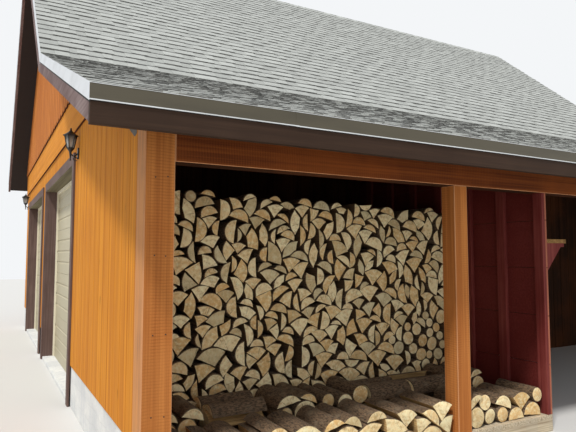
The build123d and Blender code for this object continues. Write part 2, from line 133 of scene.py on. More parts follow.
class Finish(Board):
    # A material with one Principled shader, and what its colours and bumps are made of
    def __init__(self, name, slot, onLog=False):
        self.material = bpy.data.materials.new(name)
        self.material.use_nodes = True
        self.slot = slot
        super().__init__(self.material.node_tree)
        if onLog:
            self.place = self.attribute("pithPlace", "Vector")
        else:
            self.place = self.node("ShaderNodeTexCoord", output="Object")
        finishes[name] = self

    def surface(self, colour, roughness, bump=(), **others):
        # bump is a height for the Bump node, its distance and its strength
        sockets = {"Base Color": colour, "Roughness": roughness, **others}
        if bump:
            values = dict(zip(("Height", "Distance", "Strength"), bump))
            sockets["Normal"] = self.node("ShaderNodeBump", None, values, "Normal")
        for key, value in sockets.items():
            self.feed(self.tree.nodes["Principled BSDF"].inputs[key.replace("_", " ")], value)

    def attribute(self, name, output="Fac"):
        return self.node("ShaderNodeAttribute", {"attribute_name": name}, output=output)

    def vector(self, operation, *values, output=0):
        return self.node("ShaderNodeVectorMath", {"operation": operation}, values, output)

    def part(self, axis, vector=None):
        return self.node("ShaderNodeSeparateXYZ", None, (vector or self.place,), axis)

    def noise(self, factors, detail=3, roughness=0.55, place=None):
        values = {
            "Vector": self.vector("MULTIPLY", place or self.place, factors),
            "Scale": 1.0,
            "Detail": detail,
            "Roughness": roughness,
        }
        return self.node("ShaderNodeTexNoise", None, values, "Fac")

    def streaks(self, grain, factors, *settings):
        # noise drawn out along one axis: factors for across the grain and along it
        across, along = factors
        return self.noise([along if axis == grain else across for axis in "xyz"], *settings)

    def spread(self, value, low, high):
        # 0 below low, 1 above high, smooth between
        settings = {"interpolation_type": "SMOOTHSTEP"}
        values = {"Value": value, "From Min": low, "From Max": high}
        return self.node("ShaderNodeMapRange", settings, values)

    def mix(self, share, first, second, blend="MIX"):
        settings = {"data_type": "RGBA", "blend_type": blend}
        return self.node("ShaderNodeMix", settings, {0: share, 6: first, 7: second}, 2)

    def tinged(self, colour, other, value, low, high, share=1):
        # the other colour over the first, more of it as the value goes from low to high
        mask = self.spread(value, low, high)
        return self.mix(mask if share == 1 else mask * share, colour, other)

    def shade(self, colour, amount):
        # the colour made darker by a grey value
        grey = self.node("ShaderNodeCombineColor", None, (amount, amount, amount))
        return self.mix(1.0, colour, grey, "MULTIPLY")

    def darkened(self, colour, value, low, high, amount):
        return self.shade(colour, 1 - self.spread(value, low, high) * amount)


def makeCamera():
    camera = bpy.data.objects.new("camera", bpy.data.cameras.new("camera"))
    bpy.context.scene.collection.objects.link(camera)
    camera.location = view["place"]
    turns = (90 + view["lookUp"], view["roll"], -view["turnRight"])
    camera.rotation_euler = [math.radians(turn) for turn in turns]
    camera.data.sensor_width = view["sensorWidth"]
    camera.data.lens = view["focalLength"]
    bpy.context.scene.camera = camera


def makeLight():
    scene = bpy.context.scene
    for name in ("sun", "fill"):
        data = bpy.data.lights.new(name, "SUN")
        data.energy = lighting[name + "Strength"]
        data.angle = math.radians(lighting[name + "Angle"])
        made = bpy.data.objects.new(name, data)
        made.rotation_euler = Vector(lighting[name + "Travel"]).to_track_quat("-Z", "Y").to_euler()
        scene.collection.objects.link(made)
    scene.world = scene.world or bpy.data.worlds.new("sky")
    scene.world.use_nodes = True
    tree = scene.world.node_tree
    board = Board(tree)
    sky = tree.nodes["Background"]
    board.feed(sky.inputs["Color"], lighting["skyColour"])
    board.feed(sky.inputs["Strength"], lighting["skyStrength"])
    seen = board.node("ShaderNodeBackground", None, {"Color": lighting["backdrop"], "Strength": 1})
    rays = board.node("ShaderNodeLightPath").socket.node.outputs
    kinds = ("Camera", "Glossy", "Transmission")
    camera, glossy, through = (Wire(board, rays[f"Is {kind} Ray"]) for kind in kinds)
    shown = (camera + glossy + through).maths("MINIMUM", 1.0)
    both = board.node("ShaderNodeMixShader", None, (shown, Wire(board, sky.outputs[0]), seen))
    board.feed(tree.nodes["World Output"].inputs["Surface"], both)
    scene.view_settings.view_transform = "Standard"


def makeFloor():
    half = lighting["floorSize"] / 2
    mesh = bpy.data.meshes.new("floor")
    corners = [(-half, -half, 0), (half, -half, 0), (half, half, 0), (-half, half, 0)]
    mesh.from_pydata(corners, [], [(0, 1, 2, 3)])
    floor = bpy.data.objects.new("floor", mesh)
    bpy.context.scene.collection.objects.link(floor)
    paint = Finish("floorPaint", None)
    paint.surface(lighting["floorColour"], 0.9)
    mesh.materials.append(paint.material)


makeCamera()
makeLight()
makeFloor()
print("camera and light set")


# Finishes. The factors of a noise are its cells in a metre.

sawing = {
    "fibres": (95, 1.1),  # across the grain and along it
    "wideGrain": (34, 0.4),
    "knots": (13, 4.5),
    "redderPatches": (1.6, 1.6, 1.6),
    "redder": "a45622",
    "strokePitch": 0.018,
    "strokeWander": 14,
}


def sawnTimber(name, slot, grain, pale, deep, redder, sawMarks):
    # stained rough-sawn timber with band-saw marks across its grain
    wood = Finish(name, slot)
    fibres = wood.streaks(grain, sawing["fibres"], 4, 0.65)
    wide = wood.streaks(grain, sawing["wideGrain"])
    patches = wood.noise(sawing["redderPatches"], 4)
    knots = wood.streaks(grain, sawing["knots"], 2)
    wander = wood.streaks(grain, (2.5, 1.2), 2) * sawing["strokeWander"]
    turn = math.tau / sawing["strokePitch"]
    strokes = (wood.part(grain.upper()) * turn + wander).maths("SINE")
    shown = wood.streaks(grain, (7, 1.6))
    cut = wood.spread(strokes, -0.3, 1.0) * wood.spread(shown, 0.34, 0.64) * sawMarks
    colour = wood.tinged(deep, pale, fibres * 0.45 + wide * 0.55, 0.36, 0.66)
    colour = wood.tinged(colour, sawing["redder"], patches, 0.42, 0.7, redder)
    colour = wood.shade(colour, 1 - cut * 0.2)
    colour = wood.darkened(colour, knots, 0.72, 0.8, 0.4)
    relief = (fibres * 0.7 - cut * 0.8, 0.002, 0.8)
    wood.surface(colour, 0.68 + fibres * 0.25, relief, Specular_IOR_Level=0.12)


def paintedTimber(name, slot, grain, colour, worn, wear):
    # opaque paint on sawn boards, faded in streaks
    wood = Finish(name, slot)
    streaks = wood.streaks(grain, (60, 1.8), 4)
    patches = wood.noise((1.7, 1.7, 1.7), 4)
    colour = wood.tinged(colour, worn, streaks * 0.6 + patches * 0.5, 0.42, 0.78, wear)
    relief = (streaks, 0.0015, 0.7)
    wood.surface(colour, 0.55 + streaks * 0.3, relief, Specular_IOR_Level=0.16)


concrete = {
    "dark": "cdcdca", "pale": "e6e4dd", "runs": "bec0c4",
    "boardLines": 7.4,  # lines of the form's boards in a metre
}


def concreteFinish():
    cast = Finish("castConcrete", "concrete")
    clouds = cast.noise((2.5, 2.5, 4.0), 5, 0.65)
    pits = cast.noise((85, 85, 85), 2)
    rough = cast.noise((14, 14, 26), 5, 0.7)
    runs = cast.noise((16, 16, 1.2))
    lifts = (cast.part("Z") * concrete["boardLines"] + clouds).maths("FRACT")
    seam = 1 - cast.spread(abs(lifts - 0.5), 0.0, 0.05)
    colour = cast.tinged(concrete["dark"], concrete["pale"], clouds, 0.3, 0.7)
    colour = cast.tinged(colour, concrete["runs"], runs, 0.45, 0.72, 0.5)
    colour = cast.shade(colour, 1 - seam * 0.07)
    colour = cast.darkened(colour, pits, 0.66, 0.74, 0.4)
    relief = clouds * 0.3 + rough * 0.4 - cast.spread(pits, 0.62, 0.74) * 0.4 - seam * 0.2
    cast.surface(colour, 0.9, (relief, 0.005, 0.8))


planks = {"pitch": 0.146, "dark": "9c886c", "pale": "d8c8aa", "grey": "b0a490"}


def plankFinish(name, factors):
    # bare planks, each with its own tone, and grain that runs the way they lie
    wood = Finish(name, "floor_planks")
    fibres = wood.noise(factors, 4)
    number = (wood.part("X") * (1 / planks["pitch"])).maths("FLOOR")
    tone = wood.node("ShaderNodeTexWhiteNoise", {"noise_dimensions": "1D"}, {"W": number}, "Value")
    colour = wood.tinged(planks["dark"], planks["pale"], fibres, 0.3, 0.72)
    colour = wood.mix(tone * 0.4, colour, planks["grey"])
    wood.surface(colour, 0.85, (fibres, 0.002, 0.8))


doorPaint = {"clean": "beb496", "dusty": "aca388", "splashed": "968a70"}


def doorFinish():
    metal = Finish("beigeDoor", "door_panel")
    dust = metal.noise((1.1, 1.1, 1.6), 4)
    emboss = metal.noise((120, 10, 160), 2)
    low = 1 - metal.spread(metal.part("Z"), 0.1, 0.9)
    colour = metal.tinged(doorPaint["clean"], doorPaint["dusty"], dust, 0.35, 0.7, 0.5)
    colour = metal.mix(low * 0.3, colour, doorPaint["splashed"])
    metal.surface(colour, 0.42 + dust * 0.2, (emboss, 0.0006, 0.5))


granuleTones = {"pale": "dedfd8", "dark": "545552"}


def shingleFinish(name, deep, pale):
    # mineral granules; the tone of each tab comes with the mesh
    stone = Finish(name, "shingles")
    granules = stone.noise((330, 330, 330), 2, 0.7)
    clouds = stone.noise((2.6, 2.6, 2.6), 4)
    blends = stone.noise((9, 26, 26))
    colour = stone.mix(stone.attribute("tone"), deep, pale)
    colour = stone.darkened(colour, blends, 0.45, 0.7, 0.14)
    colour = stone.tinged(colour, granuleTones["pale"], granules, 0.56, 0.72, 0.4)
    colour = stone.tinged(colour, granuleTones["dark"], 1 - granules, 0.56, 0.72, 0.5)
    colour = stone.shade(colour, 0.88 + stone.spread(clouds, 0.3, 0.7) * 0.12)
    stone.surface(colour, 0.93, (granules, 0.0022, 0.7))


roofTones = {
    "cutEdge": ("52514e", "a6a49d"),
    # the soffit's dark brown, darker still as painted shade under the eaves
    "soffitShade": ("2a1f1a", "201713"),
    "upperSide": "5c605a",
}


def shingleEdgeFinish():
    # the cut asphalt edge under the granules
    edge = Finish("shingleEdge", "shingles")
    flecks = edge.noise((28, 240, 240), 2)
    colour = edge.tinged(*roofTones["cutEdge"], flecks, 0.36, 0.66)
    edge.surface(colour, 0.95, (flecks, 0.001, 0.6))


def roofDeckFinish():
    # shingle grey on top, and on what faces down the soffit's dark brown, darker still as painted
    # shade
    deck = Finish("roofDeck", "shingles")
    normal = deck.node("ShaderNodeNewGeometry", output="Normal")
    streaks = deck.noise((2, 45, 45))
    below = deck.mix(streaks, *roofTones["soffitShade"])
    colour = deck.tinged(below, roofTones["upperSide"], deck.part("Z", normal), 0.1, 0.3)
    deck.surface(colour, 0.85, (streaks, 0.001, 0.5))


def metalFinish(name, colour, stained, roughness=0.38, slot="drip_metal"):
    metal = Finish(name, slot)
    dust = metal.noise((2.2, 2.2, 9), 4)
    colour = metal.tinged(colour, stained, dust, 0.4, 0.75, 0.5)
    metal.surface(colour, roughness + dust * 0.18, (dust, 0.0015, 0.4))


glass = {
    "seeds": ("c6c9c4", "e8eae6"),
    "shaded": "767774",
    "hoodShade": (2.60, 2.68),  # heights between which the hood begins to shade the pane
}


def glassFinish():
    pane = Finish("seededGlass", "lamp_glass")
    seeds = pane.noise((160, 160, 110), 2)
    lit = 1 - pane.spread(pane.part("Z"), *glass["hoodShade"])
    clear = pane.tinged(*glass["seeds"], seeds, 0.5, 0.7)
    colour = pane.mix(lit, glass["shaded"], clear)
    pane.surface(colour, 0.22, (seeds, 0.001, 0.6), Transmission_Weight=0.45, IOR=1.45)


logTones = {
    "deep": "e4b672", "pale": "ffecba", "honey": "d6a860", "heart": "cc9654",
    "stain": "aa8044", "fleck": "ffface", "old": "baac84", "check": "6e502e",
    "ringTurns": 1300,  # radians of the rings' wave in a metre
}


def logEndFinish():
    # sawn ends: rings about the pith, checks that run out from it, and a tone for each log
    wood = Finish("sawnEnds", "firewood", True)
    flat = wood.vector("MULTIPLY", wood.place, (1, 1, 0))
    seed = wood.part("Z")
    radius = wood.vector("LENGTH", flat, output="Value")
    offset = wood.node("ShaderNodeCombineXYZ", None, (0.0, 0.0, seed * 9))
    spoke = wood.vector("ADD", wood.vector("NORMALIZE", flat), offset)
    spokes = wood.noise((2.6, 2.6, 1), 2, place=spoke)
    wander = wood.noise((30, 30, 5))
    rings = (radius * logTones["ringTurns"] + wander * 5).maths("SINE")
    fibres = wood.noise((420, 420, 3), 2)
    check = 1 - wood.spread(abs(spokes - 0.5), 0.002, 0.012)
    check = check * wood.spread(radius, 0.006, 0.03) * wood.spread(wander, 0.42, 0.56)
    check = check * wood.spread(seed, 0.35, 0.5)
    heart = 1 - wood.spread(radius + wander * 0.03, 0.03, 0.075)
    stains = wood.noise((22, 22, 4), 4, 0.7)
    flecks = wood.noise((34, 34, 9), 3, 0.6)
    colour = wood.mix(wood.attribute("tone"), logTones["deep"], logTones["pale"])
    colour = wood.tinged(colour, logTones["honey"], wander, 0.45, 0.7, 0.35)
    colour = wood.mix(heart * 0.35, colour, logTones["heart"])
    colour = wood.tinged(colour, logTones["stain"], stains, 0.44, 0.72, 0.65)
    colour = wood.tinged(colour, logTones["fleck"], flecks, 0.4, 0.75, 0.55)
    colour = wood.tinged(colour, logTones["old"], seed, 0.78, 0.9, 0.5)
    colour = wood.shade(colour, 0.9 + rings * 0.06 + fibres * 0.12)
    colour = wood.mix(check * 0.6, colour, logTones["check"])
    relief = rings * 0.1 + fibres * 0.5 - check
    wood.surface(colour, 0.82, (relief, 0.0022, 0.7))


def splitFinish(name, deep, pale):
    wood = Finish(name, "firewood", True)
    fibres = wood.noise((150, 6, 1), 4, 0.65)
    coarse = wood.noise((38, 2.5, 1))
    colour = wood.tinged(deep, pale, fibres, 0.3, 0.72)
    colour = wood.mix(wood.attribute("tone") * 0.35, colour, pale)
    colour = wood.darkened(colour, coarse, 0.58, 0.72, 0.4)
    wood.surface(colour, 0.85, (fibres * 0.5 + coarse, 0.005, 0.9))


barkTones = {"furrow": "2a1f16", "ridge": "84694d", "lichen": "8c7c64", "speck": "967e60"}


def barkFinish():
    bark = Finish("roughBark", "bark", True)
    furrows = bark.noise((110, 32, 1), 4, 0.7)
    scales = bark.noise((36, 30, 1), 3, 0.6)
    lichen = bark.noise((9, 7, 1))
    specks = bark.noise((260, 220, 1), 2)
    colour = bark.tinged(barkTones["furrow"], barkTones["ridge"], furrows, 0.32, 0.66)
    colour = bark.tinged(colour, barkTones["lichen"], lichen, 0.5, 0.7, 0.5)
    colour = bark.tinged(colour, barkTones["speck"], specks, 0.55, 0.75, 0.4)
    colour = bark.shade(colour, 0.6 + scales * 0.7)
    bark.surface(colour, 0.95, (furrows + scales * 0.8, 0.009, 1.0))


# name, slot, axis of the grain, pale and deep tone, share of the redder patches, saw marks
sawn = (
    ("sidingStain", "siding", "z", "e09630", "be7424", 0.15, 0.1),
    # the aisle's inner wall: the siding stain made near black, as painted shade inside the store
    ("aisleStain", "siding", "z", "3c2415", "22140c", 0.1, 0.1),
    ("gableStain", "gable_boards", "z", "d8883e", "ae622a", 0.35, 0.2),
    # feet, sides and eased edges of the gable boards: darker end grain, and painted shade under the
    # teeth and in the gaps
    ("gableEndGrain", "gable_boards", "z", "542e18", "3e2212", 0.2, 0.0),
    ("bandStain", "band_board", "y", "e4983a", "ce822a", 0.15, 0.3),
    # under the band: the dark brown of a flashing, and painted shade under the band's edge
    ("bandUnderside", "band_board", "y", "62361e", "3e2214", 0.1, 0.0),
    ("postStain", "stained_timber", "z", "c88042", "a86430", 0.3, 0.65),
    # the beam's stain, darker than the posts', as painted shade under the eave
    ("beamStain", "stained_timber", "x", "88481e", "602e14", 0.3, 1.0),
    # the beam's underside, darker still: painted shade
    ("beamUnderside", "stained_timber", "x", "462412", "2c170c", 0.2, 0.3),
    ("rafterWood", "rafter_timber", "y", "684a2e", "382618", 0.0, 0.5),
    # under the door heads: beige-olive, partly a tan lining and partly painted light reflected up
    # from the ground
    ("headLining", "dark_trim", "y", "867e66", "645c48", 0.0, 0.0),
    ("shelfBoard", "red_paint", "y", "9e7848", "745632", 0.0, 0.3),
)
# name, slot, axis of the grain, the paint's colour, what it fades to, how far
painted = (
    # pale arrises: bare wood where the stain is worn off, and partly a painted highlight along the
    # edges
    ("paleArris", "stained_timber", "z", "ce9264", "a06844", 0.7),
    # outer sides of the corner posts: a paler stain, mottled with grey-mauve that is painted shade
    ("weatheredSide", "stained_timber", "z", "cc8c52", "966c50", 0.9),
    ("brownTrim", "dark_trim", "z", "5c4842", "88726a", 0.6),
    ("brownRake", "dark_trim", "y", "624c48", "968480", 0.8),
    ("brownFascia", "dark_trim", "x", "36261c", "4c392c", 0.5),
    ("barnRed", "red_paint", "x", "60201c", "803a34", 0.5),
    ("barnRedStuds", "red_paint", "z", "682622", "924c44", 0.6),
    # the front edges of the partition boards, in a paler red
    ("wornRedEdge", "red_paint", "z", "ac684e", "844836", 0.6),
    ("tanStop", "door_panel", "z", "e8e0c8", "ccc2a6", 0.5),
)
# name, clean and stained colour, roughness, slot
metallic = (
    ("paleDrip", "d6d8da", "babcbc"),
    # the eaves' metal is the same pale metal as the rakes; its olive faces are painted shade
    ("oliveDrip", "504938", "403a2d"),
    ("paleLip", "e2e4e4", "bec0be"),
    ("greyFlashing", "605a54", "4a443e", 0.7),
    ("nailHeads", "36281e", "583a26", 0.6),
    # a near-black strip under the metal's lips: painted shadow
    ("shadowGap", "1a1614", "241f1c", 0.9),
    ("blackLamp", "181819", "302e2c", 0.35, "lamp_metal"),
)
for make, rows in ((sawnTimber, sawn), (paintedTimber, painted), (metalFinish, metallic)):
    for row in rows:
        make(*row)
for make in (concreteFinish, doorFinish, shingleEdgeFinish, roofDeckFinish, glassFinish,
             logEndFinish, barkFinish):
    make()
plankFinish("barePlanks", (95, 2, 95))
plankFinish("bareBearers", (2, 95, 95))
shingleFinish("roofShingle", "8e8f89", "bebfb8")
shingleFinish("shadowBand", "3a3a38", "545451")
splitFinish("splitFaces", "8c6638", "e0ba7c")
# split faces inside the stack, made dark as painted shade between the logs
splitFinish("stackedSplitShade", "2c1e11", "604526")
print("finishes made:", len(finishes))


# Mesh helpers

meshing = {
    "weldReach": 1e-5,
    "flat": math.radians(0.5),  # faces that turn less than this are made one
    "sharp": math.radians(25),  # edges that turn more than this are eased
    "smooth": math.radians(40),
    "near": 1e-3,  # points closer than this count as lying at one place
    "facing": 0.7,  # least share of a face's normal along the axis that it faces
}


def acrossX(u, v, w):
    # an outline in y and z, drawn out along x
    return (w, u, v)


def acrossY(u, v, w):
    # an outline in x and z, drawn out along y
    return (u, w, v)


def circle(count, width, height=None):
    height = height or width
    angles = [math.tau * number / count for number in range(count)]
    return [(width * math.cos(angle), height * math.sin(angle)) for angle in angles]


class Build:
    # Gathers faces with a finish and a tone each, and makes one piece of them
    def __init__(self, *names):
        self.names = names
        self.points, self.faces, self.finish, self.tone, self.grain = ([] for part in range(5))

    def add(self, points, faces, finish=0, tone=0.5, grain=None):
        first = len(self.points)
        self.points.extend(points)
        for number, face in enumerate(faces):
            self.faces.append([first + corner for corner in face])
            self.finish.append(finish[number] if isinstance(finish, list) else finish)
            self.tone.append(tone)
            self.grain.extend(grain[number] if grain else [(0.0, 0.0, 0.0)] * len(face))

    def rings(self, points, count, finish=0, tone=0.5):
        # rings of so many points, each joined to the next, with a face at both ends
        last = len(points) - count
        faces = [list(range(count)), list(range(last, last + count))[::-1]]
        for a in range(0, last, count):
            b = a + count
            for side in range(count):
                after = (side + 1) % count
                faces.append([a + side, a + after, b + after, b + side])
        self.add(points, faces, finish, tone)

    def prism(self, outline, turn, start, stop, finish=0, tone=0.5, sides=None):
        # an outline of (u, v) points drawn out from start to stop; turn(u, v, w) gives the
        # point, and sides gives the finish of each side where it isn't the same
        points = [turn(u, v, w) for w in (start, stop) for u, v in outline]
        self.rings(points, len(outline), [finish] * 2 + sides if sides else finish, tone)

    def block(self, low, high, finish=0):
        outline = [(low[0], low[1]), (high[0], low[1]), (high[0], high[1]), (low[0], high[1])]
        self.prism(outline, lambda *point: point, low[2], high[2], finish)

    def piece(self, name, *replaced, bevel=0.0, smooth=False):
        mesh = bpy.data.meshes.new(name)
        mesh.from_pydata(self.points, [], self.faces)
        mesh.polygons.foreach_set("material_index", self.finish)
        mesh.attributes.new("tone", "FLOAT", "FACE").data.foreach_set("value", self.tone)
        place = mesh.attributes.new("pithPlace", "FLOAT_VECTOR", "CORNER")
        place.data.foreach_set("vector", np.array(self.grain, float).ravel())
        work = bmesh.new()
        work.from_mesh(mesh)
        bmesh.ops.recalc_face_normals(work, faces=work.faces)
        if bevel:
            roundEdges(work, bevel, -1)
        seat(work, mesh, self.names, replaced, smooth)


def seat(work, mesh, names, replaced, smooth=False):
    work.to_mesh(mesh)
    work.free()
    if smooth:
        mesh.shade_smooth()
        mesh.set_sharp_from_angle(angle=meshing["smooth"])
    for key in names:
        mesh.materials.append(finishes[key].material)
    made = bpy.data.objects.new(mesh.name, mesh)
    bpy.context.scene.collection.objects.link(made)
    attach(made, "root")
    if replaced:
        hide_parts(*replaced)


def roundEdges(work, width, finish):
    sharp = meshing["sharp"]
    edges = [edge for edge in work.edges if edge.is_manifold and edge.calc_face_angle() > sharp]
    bmesh.ops.bevel(
        work, geom=edges, offset=width, segments=2, profile=0.6,
        affect="EDGES", clamp_overlap=True, material=finish,
    )


def weld(work):
    # joins points that meet, and makes whole faces of those that lie in one plane
    bmesh.ops.remove_doubles(work, verts=work.verts, dist=meshing["weldReach"])
    bmesh.ops.dissolve_limit(work, angle_limit=meshing["flat"], verts=work.verts, edges=work.edges)


def welded(node):
    # the CAD solid as a closed mesh
    work = bmesh.new()
    work.from_mesh(nodes[node].data)
    weld(work)
    for face in work.faces:
        face.material_index = 0
        face.smooth = False
    return work


def solidsOf(node):
    # the points of each separate solid in a CAD node
    work = welded(node)
    seen = set()
    solids = []
    for start in work.verts:
        if start in seen:
            continue
        seen.add(start)
        group = [start]
        for vert in group:
            for other in (edge.other_vert(vert) for edge in vert.link_edges):
                if other not in seen:
                    seen.add(other)
                    group.append(other)
        solids.append(np.array([vert.co for vert in group]))
    work.free()
    return solids


def topLine(node, run):
    # the height of a CAD wall's top at each place where it changes
    mesh = nodes[node].data
    near = meshing["near"] / 5
    points = np.array([corner.co for corner in mesh.vertices])[:, (run, 2)]
    ends = [sorted(points[list(edge.vertices)].tolist()) for edge in mesh.edges]
    start, low, stop, high = np.array(ends).reshape(-1, 4).T
    places = np.unique(points[:, 0].round(4))
    span = stop - start
    tops = []
    for place in places:
        share = np.clip((place - start) / np.maximum(span, 1e-6), 0, 1)
        level = np.where(span < meshing["near"], np.maximum(low, high), low + (high - low) * share)
        tops.append(level[(start < place + near) & (stop > place - near)].max())
    return places, np.array(tops)


def mitreLowEnd(work):
    # cuts off the corner of the steep roof that would hang under the lower rake
    line = np.stack(topLine("lower_roof", 1), axis=1)
    run, rise = line[-1] - line[0]
    down = Vector((0, rise, -run)).normalized()
    rake = [corner.co for corner in nodes["left_rake_boards"].data.vertices]
    foot = min(rake, key=lambda place: place.z)
    near = meshing["near"]
    least = 0.01  # how far under the rake a corner has to hang
    hanging = [
        vert for vert in work.verts
        if abs(vert.co.y - line[-1, 0]) < near and (vert.co - foot).dot(down) > least
    ]
    faces = dict.fromkeys(face for vert in hanging for face in vert.link_faces)
    around = dict.fromkeys(part for face in faces for part in (*face.edges, *face.verts))
    geom = [*faces, *around]
    bmesh.ops.bisect_plane(work, geom=geom, dist=near / 5, plane_co=foot, plane_no=down)
    bmesh.ops.delete(work, geom=hanging, context="VERTS")
    bmesh.ops.contextual_create(work, geom=[edge for edge in work.edges if edge.is_boundary])
    weld(work)
    inner = [face for face in work.faces if all(len(e.link_faces) > 2 for e in face.edges)]
    bmesh.ops.delete(work, geom=inner, context="FACES")
    weld(work)


def softened(node, names, bevel, arris=False, facing=(), reshape=None):
    # the CAD solid with its edges eased, a finish of its own on the arrises, and others on
    # faces that face a way: facing lists (axis, sign, number of the finish)
    work = welded(node)
    if reshape:
        reshape(work)
    for face in work.faces:
        for axis, sign, number in facing:
            if face.normal[axis] * sign > meshing["facing"]:
                face.material_index = number
    if bevel:
        roundEdges(work, bevel, 1 if arris else -1)
    seat(work, bpy.data.meshes.new(node + "_eased"), names, (node,))


# Timber that keeps its CAD shape: nodes, finishes, width of the eased edges, whether those
# take the second finish (on posts and beam a pale arris, partly painted highlight), faces with
# another finish, and what cuts the solid first

post = ("postStain", "paleArris")
feet = [(2, -1, 1)]
sides = [(1, 1, 1), (1, -1, 1)]
timber = (
    ("left_corner_post", (*post, "weatheredSide"), 0.006, True, [(0, -1, 2)]),
    ("right_corner_post", (*post, "weatheredSide"), 0.006, True, [(0, 1, 2)]),
    ("front_post_1 front_post_2 front_post_3", post, 0.006, True),
    # the beam's darker stain and darker underside are painted shade under the eave
    ("front_beam", ("beamStain", "paleArris", "beamUnderside"), 0.004, True, [(2, -1, 2)]),
    ("aisle_rafters", ["rafterWood"], 0.003),
    ("left_band right_band", ("bandStain", "bandUnderside"), 0.002, False, feet),
    # the gable boards' feet, sides and eased edges take the darker finish, partly painted shade
    ("left_gable_boards right_gable_boards", ("gableStain", "gableEndGrain"), 0.005, True,
     feet + sides),
    ("door_casings", ("brownTrim", "headLining"), 0.003, False, feet),
    ("eave_fascia back_fascia", ["brownFascia"], 0.003),
    ("left_rake_boards right_rake_boards", ["brownRake"], 0.003, False, (), mitreLowEnd),
    ("upper_roof_near", ["roofDeck"], 0.0, False, (), mitreLowEnd),
    ("partition_boards", ("barnRed", "wornRedEdge"), 0.003, False, [(1, -1, 1)]),
    ("partition_studs", ["barnRedStuds"], 0.002),
    ("store_floor", ["barePlanks"], 0.004),
    ("floor_bearers", ["bareBearers"], 0.003),
    ("near_garage_door far_garage_door", ["beigeDoor"], 0.0015),
    ("foundation_left foundation_right foundation_back garage_floor", ["castConcrete"], 0.008),
)
for names, *settings in timber:
    for node in names.split():
        softened(node, *settings)
plain = {"left_gable": "sidingStain", "lower_roof": "roofDeck", "upper_roof_far": "roofDeck"}
for node, key in plain.items():
    nodes[node].data.materials.clear()
    nodes[node].data.materials.append(finishes[key].material)
print("timber and concrete done")


# Grooved siding

siding = {
    "groovePitch": 0.203,
    "firstGroove": -4.563,
    "grooveWidth": 0.009,
    "grooveDepth": 0.005,
    "narrowest": 0.004,  # of the strips beside a wall's ends
    "furring": 0.02,  # behind the gable boards
}


def sidedWall(node, axis, sign, outer=None, limit=math.inf):
    # a wall with strips of siding between grooves, which faces along the axis
    run = 1 - axis
    turn = (acrossX, acrossY)[axis]
    low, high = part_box(node)
    inner, far = (low[axis], high[axis])[::sign]
    outer = far if outer is None else outer
    back = outer - sign * siding["grooveDepth"]
    places, tops = topLine(node, run)
    # the garage's side wall faces into the aisle and takes the near-black stain that paints its
    # shade
    wall = Build("aisleStain" if node == "garage_side_wall" else "sidingStain")

    def board(start, stop, limit, w0, w1):
        middle = [place for place in places if start + 1e-4 < place < stop - 1e-4]
        spots = [stop, *middle[::-1], start]
        heights = np.minimum(np.interp(spots, places, tops), limit)
        wall.prism([(start, low.z), (stop, low.z), *zip(spots, heights)], turn, w0, w1)

    board(low[run], high[run], math.inf, back, inner)
    zero, pitch, half = siding["firstGroove"], siding["groovePitch"], siding["grooveWidth"] / 2
    first, last = math.ceil((low[run] - zero) / pitch), math.floor((high[run] - zero) / pitch)
    grooves = [zero + pitch * number for number in range(first, last + 1)]
    starts = [low[run], *(groove + half for groove in grooves)]
    stops = [*(groove - half for groove in grooves), high[run]]
    for start, stop in zip(starts, stops):
        if stop - start > siding["narrowest"]:
            board(start, stop, limit, outer, back)
    return wall, places, tops


for names, axis, sign in (
    ("left_end_wall garage_pier_1 garage_pier_2 garage_pier_3 door_header", 0, -1),
    ("right_end_wall", 0, 1),
    ("garage_side_wall", 1, -1),
    ("back_wall", 1, 1),
):
    for node in names.split():
        sidedWall(node, axis, sign)[0].piece(node + "_siding", node)

bandLow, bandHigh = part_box("right_band")
wall, places, tops = sidedWall("right_gable", 0, 1, bandLow.x, bandHigh.z)
crest = list(zip(places, tops))[::-1]
furring = [(places[0], bandHigh.z), (places[-1], bandHigh.z), *crest]
wall.prism(furring, acrossX, bandLow.x - siding["furring"], bandHigh.x)
wall.piece("right_gable_siding", "right_gable")
print("siding done")


# Shingles

shingles = {
    "exposure": 0.138,
    "lap": 0.03,
    "base": 0.0048,  # thickness at the cut edge, and at the head under the next course
    "baseHead": 0.001,
    "baseTone": (0.51, 0.59),
    "tab": {"lower_roof": 0.0042, "upper_roof_near": 0.006, "upper_roof_far": 0.006},
    "tabHead": 0.002,
    "tabUneven": (0.8, 1.15),
    "tabDrop": (0.0, 0.0012),
    "tabTone": (0.62, 0.86),
    "tabSunk": 0.4,  # share of the base's thickness that a tab's underside lies at
    "tabWidths": (0.15, 0.54),  # of a tab and the gap after it
    "tabShare": 0.6,  # of a course, against the gaps between tabs
    "leastTab": 0.02,
    "bandDepths": (0.014, 0.030),  # the dark granules printed above the next course's edge
    "reach": {"lower_roof": 0.003, "upper_roof_near": 0.0, "upper_roof_far": 0.042},
}


